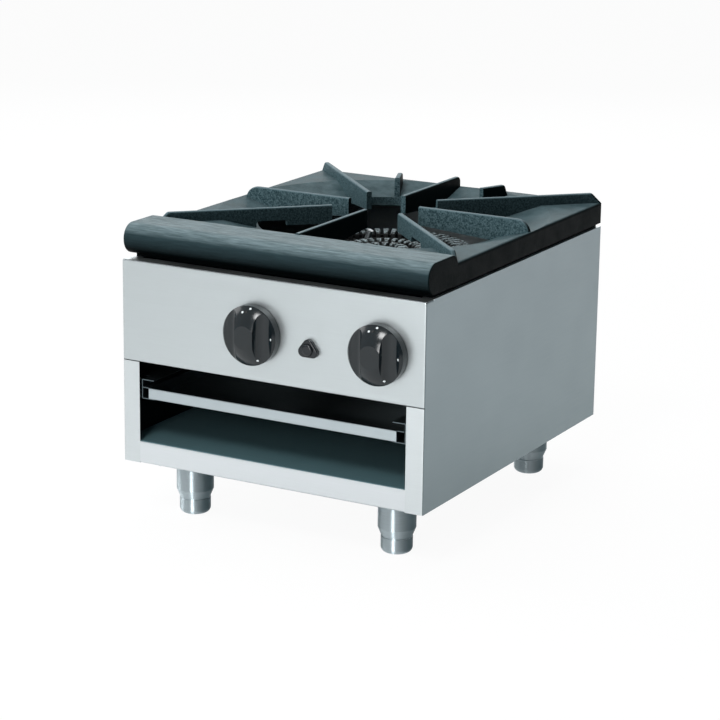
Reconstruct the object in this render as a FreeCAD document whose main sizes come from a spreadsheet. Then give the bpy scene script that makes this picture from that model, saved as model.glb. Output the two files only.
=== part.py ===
"""A stock pot range: one wide gas burner under a cast-iron top grate, in a low steel body on four
adjustable legs. Millimetres, +Z up, +Y towards the back. The origin lies on the floor, under the
middle of the range. Every size that can be set by itself is a cell of the sheet Sizes."""
import FreeCAD, Part
import os
import re

import Sketcher

doc = FreeCAD.newDocument("StockPotRange")
sheet = doc.addObject("Spreadsheet::Sheet", "Sizes")

# ---------------------------------------------------------------- sizes and places
SIZES = {
    # The steel body
    "body_width": 457,
    "body_depth": 536,
    "body_height": 279.5,
    "leg_height": 80,
    "sheet_thick": 1.2,
    "bend_radius": 2.5,
    "post_width": 26,
    "seam_height": 141,
    "rail_height": 31,
    "rail_ledge": 7.5,
    "panel_return": 20,
    "top_flange": 18,
    "base_flange": 25,
    "shield_setback": 95,
    # The drip tray and its runners
    "runner_inset": 28,
    "runner_lip": 19,
    "runner_low": 90,
    "runner_high": 117.2,
    "runner_setback": 3,
    "runner_length": 500,
    "runner_hook": 22,
    "tray_play": 0.8,
    "tray_height": 15.5,
    "tray_rim": 9.5,
    "tray_length": 490,
    "tray_corner": 2,
    # The top grate, its heights above the body's top
    "roll_depth": 84,
    "roll_height": 46.5,
    "roll_setback": 3,
    "roll_nose": 20,
    "roll_back": 14,
    "roll_wall": 12,
    "grate_gap": 5,
    "grate_inset": 6,
    "grate_wall": 10,
    "foot_setback": 26,
    "deck_depth": 456,
    "deck_height": 34.5,
    "deck_thick": 8,
    "deck_round": 4,
    "roll_end_round": 2,
    "dish_radius": 230,
    "mouth_radius": 176,
    "mouth_height": 20,
    "mouth_lip": 12,
    "lip_thick": 8,
    "fin_height": 48.5,
    "fin_thick": 7.5,
    "fin_round": 2.5,
    "fin_nose": 20,
    "rear_fin_nose": 8,
    "fin_edge_gap": 1,
    "side_fin_start": 55,
    "side_fin_gap": 5,
    "rear_fin_gap": 1,
    "front_fin_reach": 10,
    "corner_fin_start": 76,
    "corner_slope": 16.5,
    "slope_round": 6,
    "fin_start_low": 23,
    "fin_mouth_low": 14,
    "arch_start": 140,
    "arch_width": 43,
    "arch_height": 30.5,
    "arch_round": 4,
    "stub_start": 178,
    "stub_length": 49,
    "stub_slope": 7,
    "stub_round": 5,
    "stub_thick": 8,
    "stub_angle": 22.5,
    # The burner
    "burner_gap": 15,
    "ring_height": 40,
    "outer_ring_radius": 125,
    "outer_ring_width": 28,
    "inner_ring_radius": 62,
    "inner_ring_width": 18,
    "centre_ring_radius": 36,
    "centre_ring_width": 18,
    "ring_wall": 5,
    "ring_roof": 6,
    "ring_floor": 20,
    "ring_chamfer": 3,
    "port_width": 5,
    "port_depth": 9,
    "outer_ports": 60,
    "inner_ports": 30,
    "centre_ports": 14,
    "bearer_inner": 38,
    "bearer_leg": 20,
    "bearer_thick": 3,
    "venturi_radius": 14,
    "venturi_bore": 11,
    "riser_radius": 11,
    "riser_bore": 8,
    "mouth_setback": 60,
    "inner_venturi_x": 20,
    "inner_venturi_drop": 47,
    "window_length": 12,
    "window_width": 9,
    "window_setback": 5,
    "orifice_play": 1,
    "orifice_insert": 2,
    "shutter_length": 20,
    "shutter_thick": 1.5,
    "shutter_play": 0.06,
    "shield_play": 1,
    # The knobs, their stems and valves
    "left_knob_x": -22.5,
    "right_knob_x": 163.5,
    "knob_axis_height": 205,
    "knob_radius": 40,
    "knob_reach": 28,
    "knob_gap": 1,
    "knob_rim": 13,
    "dome_radius": 55,
    "grip_half": 13.5,
    "scoop_radius": 14,
    "scoop_depth": 14.5,
    "knob_wall": 4,
    "knob_cavity": 8,
    "hub_radius": 8,
    "stem_radius": 4,
    "stem_fit": 0.05,
    "stem_in_knob": 17,
    "stem_in_valve": 16,
    "stem_hole_play": 1,
    "valve_setback": 8,
    "valve_length": 34,
    "valve_radius": 11,
    "saddle_radius": 9,
    "valve_neck": 8,
    "manifold_radius": 13.35,
    "manifold_bore": 10.5,
    "fitting_wall": 3,
    "cap_length": 18,
    "cap_end": 4,
    "elbow_length": 26,
    "manifold_drop": 36,
    "manifold_setback": 28,
    "manifold_end": 40,
    "supply_side_gap": 45,
    "inlet_reach": 28,
    "pipe_hole_play": 1.5,
    "orifice_radius": 6,
    "jet_radius": 1,
    "gas_tube_radius": 4.75,
    "union_wall": 2,
    "gas_tube_setback": 50,
    # The igniter
    "igniter_x": 60.5,
    "igniter_height": 196,
    "bezel_flat": 10.6,
    "bezel_base": 21.8,
    "bezel_peak": 18.5,
    "bezel_round": 7.5,
    "bezel_depth": 6,
    "bezel_edge": 2,
    "bezel_floor": 1.5,
    "button_radius": 8,
    "button_depth": 9,
    "button_travel": 3,
    "button_rest": 0.3,
    "button_dome": 3,
    "button_play": 0.4,
    "barrel_radius": 8,
    "barrel_length": 14,
    "barrel_play": 0.3,
    "plunger_radius": 4,
    "nut_radius": 12,
    "nut_thick": 4,
    "piezo_radius": 10,
    "piezo_length": 28,
    "pilot_radius": 4.5,
    "pilot_length": 46,
    "pilot_tilt": 20,
    "pilot_x": -66,
    "pilot_y": 52,
    "pilot_plate": 3,
    "pilot_foot_width": 14,
    "pilot_foot_length": 27,
    # The legs
    "leg_side": 71.5,
    "leg_end": 66,
    "sleeve_radius": 25.5,
    "sleeve_straight": 45.4,
    "sleeve_length": 57.5,
    "neck_radius": 20.5,
    "foot_radius": 21.3,
    "foot_round": 8,
    "foot_edge": 1,
    "stud_radius": 8,
    "stud_play": 0.3,
    "stud_length": 24,
    "plate_thick": 3,
    "plate_span": 118,
    "bolt_radius": 5,
    "bolt_head": 8,
    "bolt_head_height": 6,
    "bolt_length": 14,
    "bolt_end_gap": 1,
    "screw_radius": 2.5,
    "screw_head": 5,
    "screw_head_height": 3,
    "screw_dome": 2,
    "screw_near": 12,
    "screw_far": 52,
}

# Places that follow from the sizes
PLACES = {
    # The steel body
    "half": "body_width / 2",
    "front": "0 - (body_depth + inlet_reach - knob_reach) / 2",
    "back": "front + body_depth",
    "base": "leg_height",
    "top": "leg_height + body_height",
    "seam": "base + seam_height",
    "pan_top": "base + rail_height",
    "rear_skin": "back - 2 * sheet_thick",
    "shield": "front + shield_setback",
    # The drip tray and its runners
    "runner_x": "half - runner_inset",
    "tray_half": "runner_x - sheet_thick - tray_play",
    "tray_base": "base + runner_low + sheet_thick",
    "tray_top": "tray_base + tray_height",
    # The top grate, its heights above the body's top
    "centre": "back - deck_depth / 2",
    "deck_half": "deck_depth / 2",
    "fin_foot": "deck_height - deck_thick",
    "foot_top": "top + grate_gap",
    # The burner
    "burner_top": "top - burner_gap",
    "ring_base": "burner_top - ring_height",
    "outer_line": "outer_ring_radius - outer_ring_width / 2",
    "inner_line": "inner_ring_radius - inner_ring_width / 2",
    "mouth": "front + mouth_setback",
    "inner_axis": "ring_base - inner_venturi_drop",
    "outer_riser": "centre - sqrt(outer_line ^ 2 - left_knob_x ^ 2)",
    "inner_riser": "centre - sqrt(inner_line ^ 2 - inner_venturi_x ^ 2)",
    # The knobs, their stems and valves
    "knob_z": "base + knob_axis_height",
    "manifold_z": "knob_z - manifold_drop",
    "manifold_y": "front + manifold_setback",
    "supply_x": "half - supply_side_gap",
    "elbow_end": "manifold_y + elbow_length",
    "valve_end": "front + valve_setback + valve_length",
    # The igniter
    "igniter_z": "base + igniter_height",
    # The legs
    "plate_base": "base + sheet_thick",
}

# How far a cutting shape runs past the face that it cuts, and a joined one into its neighbour.
# Neither changes the finished shape.
PAST = "1"
SINK = "1"

# Places nearer than this are the same place, and a cut of less volume than this is no cut
SAME = 1e-4
LEAST_CUT = 1e-3

for row, (alias, value) in enumerate(SIZES.items(), 1):
    sheet.set(f"A{row}", alias)
    sheet.set(f"B{row}", str(value))
    sheet.setAlias(f"B{row}", alias)
doc.recompute()


def formula(text):
    """The same formula with each place worked out and each size read from the sheet."""

    def spell(found):
        word = found.group(0)
        if word in PLACES:
            return "(" + formula(PLACES[word]) + ")"
        return "Sizes." + word if word in SIZES else word

    return re.sub(r"[a-z_][a-z_0-9]*", spell, str(text))


def number(text):
    """The value of a formula, for what takes no expression."""
    return float(sheet.evalExpression(formula(text)))


def bind(thing, path, text):
    """Ties one property of an object to a formula."""
    thing.setExpression(path, formula(text))


# ---------------------------------------------------------------- ways of making a shape
def origin_plane(body, role):
    """One of the body's own origin planes."""
    return next(plane for plane in body.Origin.OriginFeatures if plane.Role == role)


def outline(body, role, loops, offset="0"):
    """A sketch of closed outlines. A loop of pairs is a polygon; a loop of three is a circle."""
    sketch = body.newObject("Sketcher::SketchObject", body.Name + "Outline")
    sketch.AttachmentSupport = [(origin_plane(body, role), "")]
    sketch.MapMode = "FlatFace"
    bind(sketch, "AttachmentOffset.Base.z", offset)
    for loop in loops:
        if isinstance(loop[0], str):
            draw_circle(sketch, *loop)
        else:
            draw_polygon(sketch, loop)
    return sketch


def draw_polygon(sketch, corners):
    """Straight lines from corner to corner, each corner held by its two formulas."""
    points = [FreeCAD.Vector(number(u), number(v), 0) for u, v in corners]
    first = len(sketch.Geometry)
    count = len(points)
    for here in range(count):
        line = Part.LineSegment(points[here], points[(here + 1) % count])
        sketch.addGeometry(line, False)
    for here in range(count):
        after = first + (here + 1) % count
        sketch.addConstraint(Sketcher.Constraint("Coincident", first + here, 2, after, 1))
    for here, (u, v) in enumerate(corners):
        hold(sketch, "DistanceX", first + here, 1, u)
        hold(sketch, "DistanceY", first + here, 1, v)


def draw_circle(sketch, u, v, radius):
    """A circle held by its centre and radius."""
    middle = FreeCAD.Vector(number(u), number(v), 0)
    circle = Part.Circle(middle, FreeCAD.Vector(0, 0, 1), number(radius))
    ring = sketch.addGeometry(circle, False)
    hold(sketch, "DistanceX", ring, 3, u)
    hold(sketch, "DistanceY", ring, 3, v)
    rule = sketch.addConstraint(Sketcher.Constraint("Radius", ring, number(radius)))
    bind(sketch, f"Constraints[{rule}]", radius)


def hold(sketch, kind, line, end, text):
    """Holds one point of a sketch at a formula's distance from the sketch's origin."""
    rule = sketch.addConstraint(Sketcher.Constraint(kind, -1, 1, line, end, number(text)))
    bind(sketch, f"Constraints[{rule}]", text)


def pad(body, role, low, high, *loops):
    """Material between two places along the plane's axis."""
    flipped = role == "XZ_Plane"
    sketch = outline(body, role, loops, f"0 - ({high})" if flipped else low)
    feature = body.newObject("PartDesign::Pad", body.Name + "Pad")
    feature.Profile = sketch
    bind(feature, "Length", f"({high}) - ({low})")
    doc.recompute()
    return feature


def pocket(body, role, low, high, *loops):
    """A cut between two places along the plane's axis. It must take material away."""
    before = body.Shape.Volume
    flipped = role == "XZ_Plane"
    sketch = outline(body, role, loops, f"0 - ({low})" if flipped else high)
    feature = body.newObject("PartDesign::Pocket", body.Name + "Pocket")
    feature.Profile = sketch
    bind(feature, "Length", f"({high}) - ({low})")
    doc.recompute()
    assert body.Shape.Volume < before - LEAST_CUT, "a pocket of " + body.Name + " cuts nothing"
    return feature


def turn(body, *loops):
    """Outlines in the XZ plane turned about the Z axis."""
    sketch = outline(body, "XZ_Plane", loops)
    feature = body.newObject("PartDesign::Revolution", body.Name + "Turn")
    feature.Profile = sketch
    feature.ReferenceAxis = (sketch, ["V_Axis"])
    feature.Angle = 360
    doc.recompute()
    return feature


def around(body, feature, count):
    """The feature repeated at even steps about the body's Z axis."""
    sketch = feature.Profile[0]
    pattern = body.newObject("PartDesign::PolarPattern", body.Name + "Pattern")
    pattern.Originals = [feature]
    pattern.Axis = (next(a for a in body.Origin.OriginFeatures if a.Role == "Z_Axis"), [""])
    pattern.Angle = 360
    bind(pattern, "Occurrences", count)
    body.Tip = pattern
    sketch.Visibility = False
    doc.recompute()
    return pattern


def rounded(body, radius, pick):
    """A fillet on the edges of the body that pick names."""
    base = body.Tip
    edges = base.Shape.Edges
    names = [f"Edge{i + 1}" for i, edge in enumerate(edges) if pick(edge)]
    assert names, "no edge to round on " + body.Name
    feature = body.newObject("PartDesign::Fillet", body.Name + "Round")
    feature.Base = (base, names)
    bind(feature, "Radius", radius)
    doc.recompute()
    return feature


def rectangle(u_low, u_high, v_low, v_high):
    """The four corners of a rectangle."""
    return [(u_low, v_low), (u_high, v_low), (u_high, v_high), (u_low, v_high)]


def new_body(name):
    """An empty body, named as its piece."""
    return doc.addObject("PartDesign::Body", name)


def box(name, low, high):
    """A Part box between two corners, each three formulas."""
    piece = doc.addObject("Part::Box", name)
    for side, axis, first, last in zip(("Length", "Width", "Height"), "xyz", low, high):
        bind(piece, side, f"({last}) - ({first})")
        bind(piece, "Placement.Base." + axis, first)
    return piece


TURNS = {
    "x": FreeCAD.Rotation(FreeCAD.Vector(0, 1, 0), 90),
    "y": FreeCAD.Rotation(FreeCAD.Vector(1, 0, 0), -90),
    "z": FreeCAD.Rotation(),
}


def rod(name, axis, radius, start, end):
    """A Part cylinder along one axis. start is its first centre, end its last place on that axis."""
    piece = doc.addObject("Part::Cylinder", name)
    bind(piece, "Radius", radius)
    bind(piece, "Height", f"({end}) - ({start['xyz'.index(axis)]})")
    piece.Placement = FreeCAD.Placement(FreeCAD.Vector(), TURNS[axis])
    for letter, text in zip("xyz", start):
        bind(piece, "Placement.Base." + letter, text)
    return piece


def ball(name, radius, middle):
    """A Part sphere."""
    piece = doc.addObject("Part::Sphere", name)
    bind(piece, "Radius", radius)
    for letter, text in zip("xyz", middle):
        bind(piece, "Placement.Base." + letter, text)
    return piece


def fuse(name, *shapes):
    """Several shapes as one."""
    piece = doc.addObject("Part::MultiFuse", name)
    piece.Shapes = list(shapes)
    piece.Refine = True
    return piece


def cut(name, base, *tools):
    """A shape less the tools."""
    piece = doc.addObject("Part::Cut", name)
    piece.Base = base
    piece.Tool = tools[0] if len(tools) == 1 else fuse(name + "Tools", *tools)
    doc.recompute()
    assert piece.Shape.Volume < base.Shape.Volume - LEAST_CUT, name + " cuts nothing"
    return piece


def common(name, *shapes):
    """What the shapes share."""
    piece = doc.addObject("Part::MultiCommon", name)
    piece.Shapes = list(shapes)
    doc.recompute()
    return piece


def bend(name, base, radius, pick):
    """A Part fillet on the edges that pick names."""
    doc.recompute()
    width = number(radius)
    chosen = [(i + 1, width, width) for i, edge in enumerate(base.Shape.Edges) if pick(edge)]
    assert chosen, "no edge to round on " + name
    piece = doc.addObject("Part::Fillet", name)
    piece.Base = base
    piece.Edges = chosen
    doc.recompute()
    return piece


def at(value, text):
    """True where a coordinate lies on a place."""
    return abs(value - number(text)) < SAME


def along(edge, axis):
    """True for a straight edge along one axis."""
    start, end = edge.Vertexes[0].Point, edge.Vertexes[-1].Point
    across = [letter for letter in "xyz" if letter != axis]
    return len(edge.Vertexes) == 2 and all(
        abs(getattr(end, letter) - getattr(start, letter)) < SAME for letter in across
    )


def keep(piece, label):
    """Marks a finished sub-part: its label names its file."""
    piece.Label = label
    finished.append(piece)
    return piece


finished = []


# ---------------------------------------------------------------- the steel body
def side_panel(name, side):
    """One side skin with its front post, rear flange, and flanges at the top and the base."""
    body = new_body(name)
    edge = f"{side} * half"
    skin = f"{side} * (half - sheet_thick)"
    start = "front + sheet_thick"
    section = [
        (edge, "base"),
        (edge, "top"),
        (f"{side} * (half - top_flange)", "top"),
        (f"{side} * (half - top_flange)", "top - sheet_thick"),
        (skin, "top - sheet_thick"),
        (skin, "base + sheet_thick"),
        (f"{side} * (half - base_flange)", "base + sheet_thick"),
        (f"{side} * (half - base_flange)", "base"),
    ]
    pad(body, "XZ_Plane", start, "rear_skin", section)
    post = f"{side} * (half - post_width)"
    pad(body, "XZ_Plane", "front", start, rectangle(edge, post, "base", "top"))
    rear = rectangle(edge, post, "base", "top - sheet_thick")
    pad(body, "XZ_Plane", "back - sheet_thick", "back", rear)
    pad(body, "XZ_Plane", "rear_skin", "back - sheet_thick", rectangle(edge, skin, "base", "top"))
    beyond = f"{side} * (half + {PAST})"
    inner = f"{side} * (half - post_width - {PAST})"
    end = "front + panel_return"
    pocket(body, "XZ_Plane", "front", end, rectangle(beyond, inner, "seam", f"top + {PAST}"))
    corners = ("front", "back")
    rounded(
        body,
        "bend_radius",
        lambda e: along(e, "z")
        and at(e.Vertexes[0].X, edge)
        and any(at(e.Vertexes[0].Y, place_y) for place_y in corners),
    )
    return keep(body, name)


def control_panel():
    """The front panel: a shallow shell with holes for the two stems and the igniter's barrel."""
    body = new_body("control_panel")
    pad(
        body,
        "XZ_Plane",
        "front",
        "front + panel_return",
        rectangle("0 - half", "half", "seam", "top"),
    )
    rounded(
        body,
        "bend_radius",
        lambda e: all(at(v.Y, "front") for v in e.Vertexes)
        or (along(e, "y") and all(at(v.Z, "top") for v in e.Vertexes)),
    )
    inside = rectangle(
        "sheet_thick - half", "half - sheet_thick", "seam + sheet_thick", "top - sheet_thick"
    )
    pocket(body, "XZ_Plane", "front + sheet_thick", "front + panel_return", inside)
    holes = [(x, "knob_z", "stem_radius + stem_hole_play") for x in ("left_knob_x", "right_knob_x")]
    holes.append(("igniter_x", "igniter_z", "barrel_radius + barrel_play"))
    pocket(body, "XZ_Plane", "front", "front + sheet_thick", *holes)
    return keep(body, "control_panel")


def bottom_pan():
    """The floor of the lower space, folded down at the front as the rail, then back at the base."""
    body = new_body("bottom_pan")
    inner = "half - post_width"
    under = "pan_top - sheet_thick"
    fold = "front + sheet_thick"
    lip = "front + base_flange"
    section = [
        ("front", "base"),
        ("front", "pan_top"),
        ("front + rail_ledge", "pan_top"),
        ("front + rail_ledge", under),
        (fold, under),
        (fold, "base + sheet_thick"),
        (lip, "base + sheet_thick"),
        (lip, "base"),
    ]
    pad(body, "YZ_Plane", f"0 - ({inner})", inner, section)
    floor = rectangle("sheet_thick - half", "half - sheet_thick", fold, "rear_skin")
    pad(body, "XY_Plane", under, "pan_top", floor)
    rounded(
        body,
        "bend_radius",
        lambda e: along(e, "x")
        and at(e.Vertexes[0].Y, "front")
        and (at(e.Vertexes[0].Z, "base") or at(e.Vertexes[0].Z, "pan_top")),
    )
    screws = [(f"{side} * (half - screw_far)", "front + screw_near", "screw_radius") for side in (-1, 1)]
    pocket(body, "XY_Plane", "base", "base + sheet_thick", *screws)
    return keep(body, "bottom_pan")


def rear_panel():
    """The back skin with a top flange and the hole of the gas inlet."""
    body = new_body("rear_panel")
    width = ("sheet_thick - half", "half - sheet_thick")
    skin = rectangle(*width, "base", "top - sheet_thick")
    pad(body, "XZ_Plane", "rear_skin", "back - sheet_thick", skin)
    ledge = rectangle("top_flange - half", "half - top_flange", "rear_skin - top_flange", "back")
    pad(body, "XY_Plane", "top - sheet_thick", "top", ledge)
    hole = ("supply_x", "manifold_z", "manifold_radius + pipe_hole_play")
    pocket(body, "XZ_Plane", "rear_skin", "back - sheet_thick", hole)
    return keep(body, "rear_panel")


def heat_shield():
    """The screen between the burner and the valves, with a floor under the valves."""
    body = new_body("heat_shield")
    half_width = "half - sheet_thick"
    section = [
        ("front + panel_return", "seam"),
        ("shield + sheet_thick", "seam"),
        ("shield + sheet_thick", "top - sheet_thick"),
        ("shield", "top - sheet_thick"),
        ("shield", "seam + sheet_thick"),
        ("front + panel_return", "seam + sheet_thick"),
    ]
    pad(body, "YZ_Plane", f"0 - ({half_width})", half_width, section)
    holes = [
        ("left_knob_x", "knob_z", "venturi_radius + shield_play"),
        ("inner_venturi_x", "inner_axis", "venturi_radius + shield_play"),
        ("supply_x", "manifold_z", "manifold_radius + pipe_hole_play"),
    ]
    pocket(body, "XZ_Plane", "shield", "shield + sheet_thick", *holes)
    return keep(body, "heat_shield")


def tray_runner(name, side):
    """A channel along one side of the tray, hooked onto the side skin behind the post."""
    body = new_body(name)
    web = f"{side} * runner_x"
    web_face = f"{side} * (runner_x - sheet_thick)"
    lip = f"{side} * (runner_x - runner_lip)"
    low, high = "base + runner_low", "base + runner_high"
    section = [
        (web, low),
        (web, high),
        (lip, high),
        (lip, "base + runner_high - sheet_thick"),
        (web_face, "base + runner_high - sheet_thick"),
        (web_face, "base + runner_low + sheet_thick"),
        (lip, "base + runner_low + sheet_thick"),
        (lip, low),
    ]
    start = "front + runner_setback"
    end = "front + runner_setback + runner_length"
    pad(body, "XZ_Plane", start, end, section)
    hook = rectangle(f"{side} * (half - sheet_thick)", web, f"{high} - sheet_thick", high)
    pad(body, "XZ_Plane", "front + runner_hook", end, hook)
    return keep(body, name)


def drip_tray():
    """A shallow tray with a rim that runs in the two channels."""
    body = new_body("drip_tray")
    wall = "tray_half - tray_rim"
    end = "front + tray_length"
    outer = rectangle(f"0 - ({wall})", wall, "front", end)
    pad(body, "XY_Plane", "tray_base", "tray_top", outer)
    rounded(
        body,
        "tray_corner",
        lambda e: (along(e, "x") and at(e.Vertexes[0].Y, "front"))
        or (along(e, "z") and at(e.Vertexes[0].Y, "front")),
    )
    rim = rectangle("0 - tray_half", "tray_half", "front + tray_corner", end)
    pad(body, "XY_Plane", "tray_top - sheet_thick", "tray_top", rim)
    inside = rectangle(
        f"sheet_thick - ({wall})", f"{wall} - sheet_thick", "front + sheet_thick", f"{end} - sheet_thick"
    )
    pocket(body, "XY_Plane", "tray_base + sheet_thick", "tray_top", inside)
    return keep(body, "drip_tray")


# ---------------------------------------------------------------- the top grate
def fin(name, start, top_points, angle, thick, low_points, turns):
    """An upright fin on a ray from the burner's centre, all its top edges rounded. turns are the
    corners of its outline that are rounded first: each a distance out, a height and a radius."""
    body = new_body(name)
    half_thick = f"({thick}) / 2"
    corners = [(start, "fin_height")] + top_points + low_points
    pad(body, "XZ_Plane", f"0 - {half_thick}", half_thick, corners)
    for out, height, radius in turns:
        rounded(
            body,
            radius,
            lambda e: along(e, "y") and at(e.Vertexes[0].X, out) and at(e.Vertexes[0].Z, height),
        )
    rounded(
        body,
        "fin_round",
        lambda e: not along(e, "y")
        and not along(e, "z")
        and max(v.Z for v in e.Vertexes) > number("deck_height"),
    )
    body.Placement.Rotation = FreeCAD.Rotation(FreeCAD.Vector(0, 0, 1), angle)
    bind(body, "Placement.Base.y", "centre")
    bind(body, "Placement.Base.z", "top")
    return body


def straight_low(start, end):
    """A fin's lower edge, from its outer end in: through the dish, then level to its start."""
    return [
        (end, "fin_foot"),
        ("dish_radius", "fin_foot"),
        ("mouth_radius + lip_thick / 2", "fin_mouth_low"),
        (start, "fin_start_low"),
    ]


def arched_low(start, end):
    """A front corner fin's lower edge, with an arch over the rim of the round opening."""
    outer = "arch_start + arch_width"
    return [
        (end, "fin_foot"),
        ("dish_radius", "fin_foot"),
        (outer, "fin_mouth_low"),
        (outer, "arch_height"),
        ("arch_start", "arch_height"),
        ("arch_start", "fin_start_low"),
        (start, "fin_start_low"),
    ]


def fins():
    """Eight fins about the burner, and two stubs on the rear of the deck."""
    made = []
    start = "side_fin_start"
    for angle, end, nose in (
        (0, "half - side_fin_gap", "fin_nose"),
        (90, "deck_half - rear_fin_gap", "rear_fin_nose"),
        (180, "half - side_fin_gap", "fin_nose"),
        (270, "deck_half + front_fin_reach", None),
    ):
        turns = [(end, "fin_height", nose)] if nose else []
        top_points = [(end, "fin_height")]
        low = straight_low(start, end)
        made.append(fin(f"fin_{angle}", start, top_points, angle, "fin_thick", low, turns))
    start = "corner_fin_start"
    end = "sqrt(2) * deck_half"
    slope_start = f"{end} - corner_slope"
    top_points = [(slope_start, "fin_height"), (end, "fin_height - corner_slope")]
    arch_corners = [(out, "arch_height", "arch_round") for out in ("arch_start", "arch_start + arch_width")]
    for angle in (45, 135, 225, 315):
        turns = [(slope_start, "fin_height", "slope_round")]
        low = straight_low(start, end)
        if angle > 180:
            low = arched_low(start, end)
            turns += arch_corners
        made.append(fin(f"fin_{angle}", start, top_points, angle, "fin_thick", low, turns))
    end = "stub_start + stub_length"
    top_points = [(f"{end} - stub_slope", "fin_height")]
    low = [(end, "deck_height - deck_thick / 2"), ("stub_start", "mouth_height - lip_thick / 2")]
    turns = [(f"{end} - stub_slope", "fin_height", "stub_round")]
    for side in (-1, 1):
        angle = 90 + side * number("stub_angle")
        made.append(fin(f"stub_{side + 2}", "stub_start", top_points, angle, "stub_thick", low, turns))
    return made


def dish():
    """The sloping ring from the deck down to the round opening."""
    body = new_body("dish")
    outer = "dish_radius + lip_thick"
    section = [
        ("mouth_radius", "mouth_height - mouth_lip"),
        ("mouth_radius", "mouth_height"),
        ("dish_radius", "deck_height"),
        (outer, "deck_height"),
        (outer, "deck_height - deck_thick"),
        ("dish_radius", "deck_height - deck_thick"),
        ("mouth_radius + lip_thick", "mouth_height - deck_thick"),
        ("mouth_radius + lip_thick", "mouth_height - mouth_lip"),
    ]
    turn(body, section)
    bind(body, "Placement.Base.y", "centre")
    bind(body, "Placement.Base.z", "top")
    return body


def grate_deck():
    """The square deck behind the roll, its outer top edges and rear corners rounded."""
    deck_front = "front + roll_depth - roll_back"
    deck_top = "top + deck_height"
    deck = box("deck_block", ("0 - half", deck_front, "foot_top"), ("half", "back", deck_top))
    return bend(
        "deck_bent",
        deck,
        "deck_round",
        lambda e: (
            (at(e.Vertexes[0].Z, deck_top) and at(e.Vertexes[1].Z, deck_top))
            and not (at(e.Vertexes[0].Y, deck_front) and at(e.Vertexes[1].Y, deck_front))
        )
        or (along(e, "z") and at(e.Vertexes[0].Y, "back")),
    )


def grate_roll():
    """The thick half-round front of the grate, just behind the face of the control panel."""
    crown = "top + roll_height"
    face, rear = "front + roll_setback", "front + roll_depth"
    roll = box("roll_block", ("0 - half", face, "foot_top"), ("half", rear, crown))
    roll = bend("roll_nosed", roll, "roll_nose", lambda e: line_at(e, face, crown))
    roll = bend("roll_tucked", roll, "roll_nose", lambda e: line_at(e, face, "foot_top"))
    roll = bend("roll_backed", roll, "roll_back", lambda e: line_at(e, rear, crown))
    return bend(
        "roll_ended",
        roll,
        "roll_end_round",
        lambda e: any(all(at(v.X, end) for v in e.Vertexes) for end in ("half", "0 - half"))
        and not (along(e, "y") and at(e.Vertexes[0].Z, "foot_top")),
    )


def grate_hollow():
    """What the casting leaves out underneath."""
    side = "(half - grate_inset - grate_wall)"
    start, under = "front + foot_setback + grate_wall", f"top - {PAST}"
    deck_space = box(
        "deck_hollow",
        (f"0 - {side}", start, under),
        (side, "back - grate_inset - grate_wall", "top + deck_height - deck_thick"),
    )
    roll_space = box(
        "roll_hollow",
        (f"0 - {side}", start, under),
        (side, "front + roll_depth - grate_wall", "top + roll_height - roll_wall"),
    )
    return deck_space, roll_space


def top_grate():
    """One iron casting: a front roll, a square deck with a dished opening, and fins."""
    foot = box(
        "grate_foot",
        ("grate_inset - half", "front + foot_setback", "top"),
        ("half - grate_inset", "back - grate_inset", f"foot_top + {SINK}"),
    )
    shell = fuse("grate_shell", grate_deck(), grate_roll(), foot)
    shell = cut("grate_hollowed", shell, *grate_hollow())
    limit = box(
        "dish_limit",
        ("grate_wall - half", "front + roll_depth - grate_wall", "top"),
        ("half - grate_wall", "back - grate_wall", "top + deck_height"),
    )
    shell = fuse("grate_dished", shell, common("dish_trimmed", dish(), limit))
    slope = doc.addObject("Part::Cone", "dish_slope")
    bind(slope, "Radius1", "mouth_radius")
    bind(slope, "Radius2", "dish_radius")
    bind(slope, "Height", "deck_height - mouth_height")
    bind(slope, "Placement.Base.y", "centre")
    bind(slope, "Placement.Base.z", "top + mouth_height")
    behind = box(
        "behind_roll",
        (f"0 - half - {PAST}", "front + roll_depth", "top + mouth_height"),
        (f"half + {PAST}", f"back + {PAST}", "top + deck_height"),
    )
    mouth = rod(
        "grate_mouth", "z", "mouth_radius", ("0", "centre", f"top - {PAST}"), f"top + mouth_height + {PAST}"
    )
    shell = cut("grate_opened", shell, common("slope_trimmed", slope, behind), mouth)
    outline_box = box(
        "grate_outline",
        ("fin_edge_gap - half", "front", "top"),
        ("half - fin_edge_gap", "back - fin_edge_gap", "top + fin_height"),
    )
    trimmed = common("fins_trimmed", fuse("fins", *fins()), outline_box)
    return keep(fuse("top_grate", shell, trimmed), "top_grate")


def line_at(edge, y_text, z_text):
    """True for an edge along X at one y and z."""
    return along(edge, "x") and at(edge.Vertexes[0].Y, y_text) and at(edge.Vertexes[0].Z, z_text)


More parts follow.
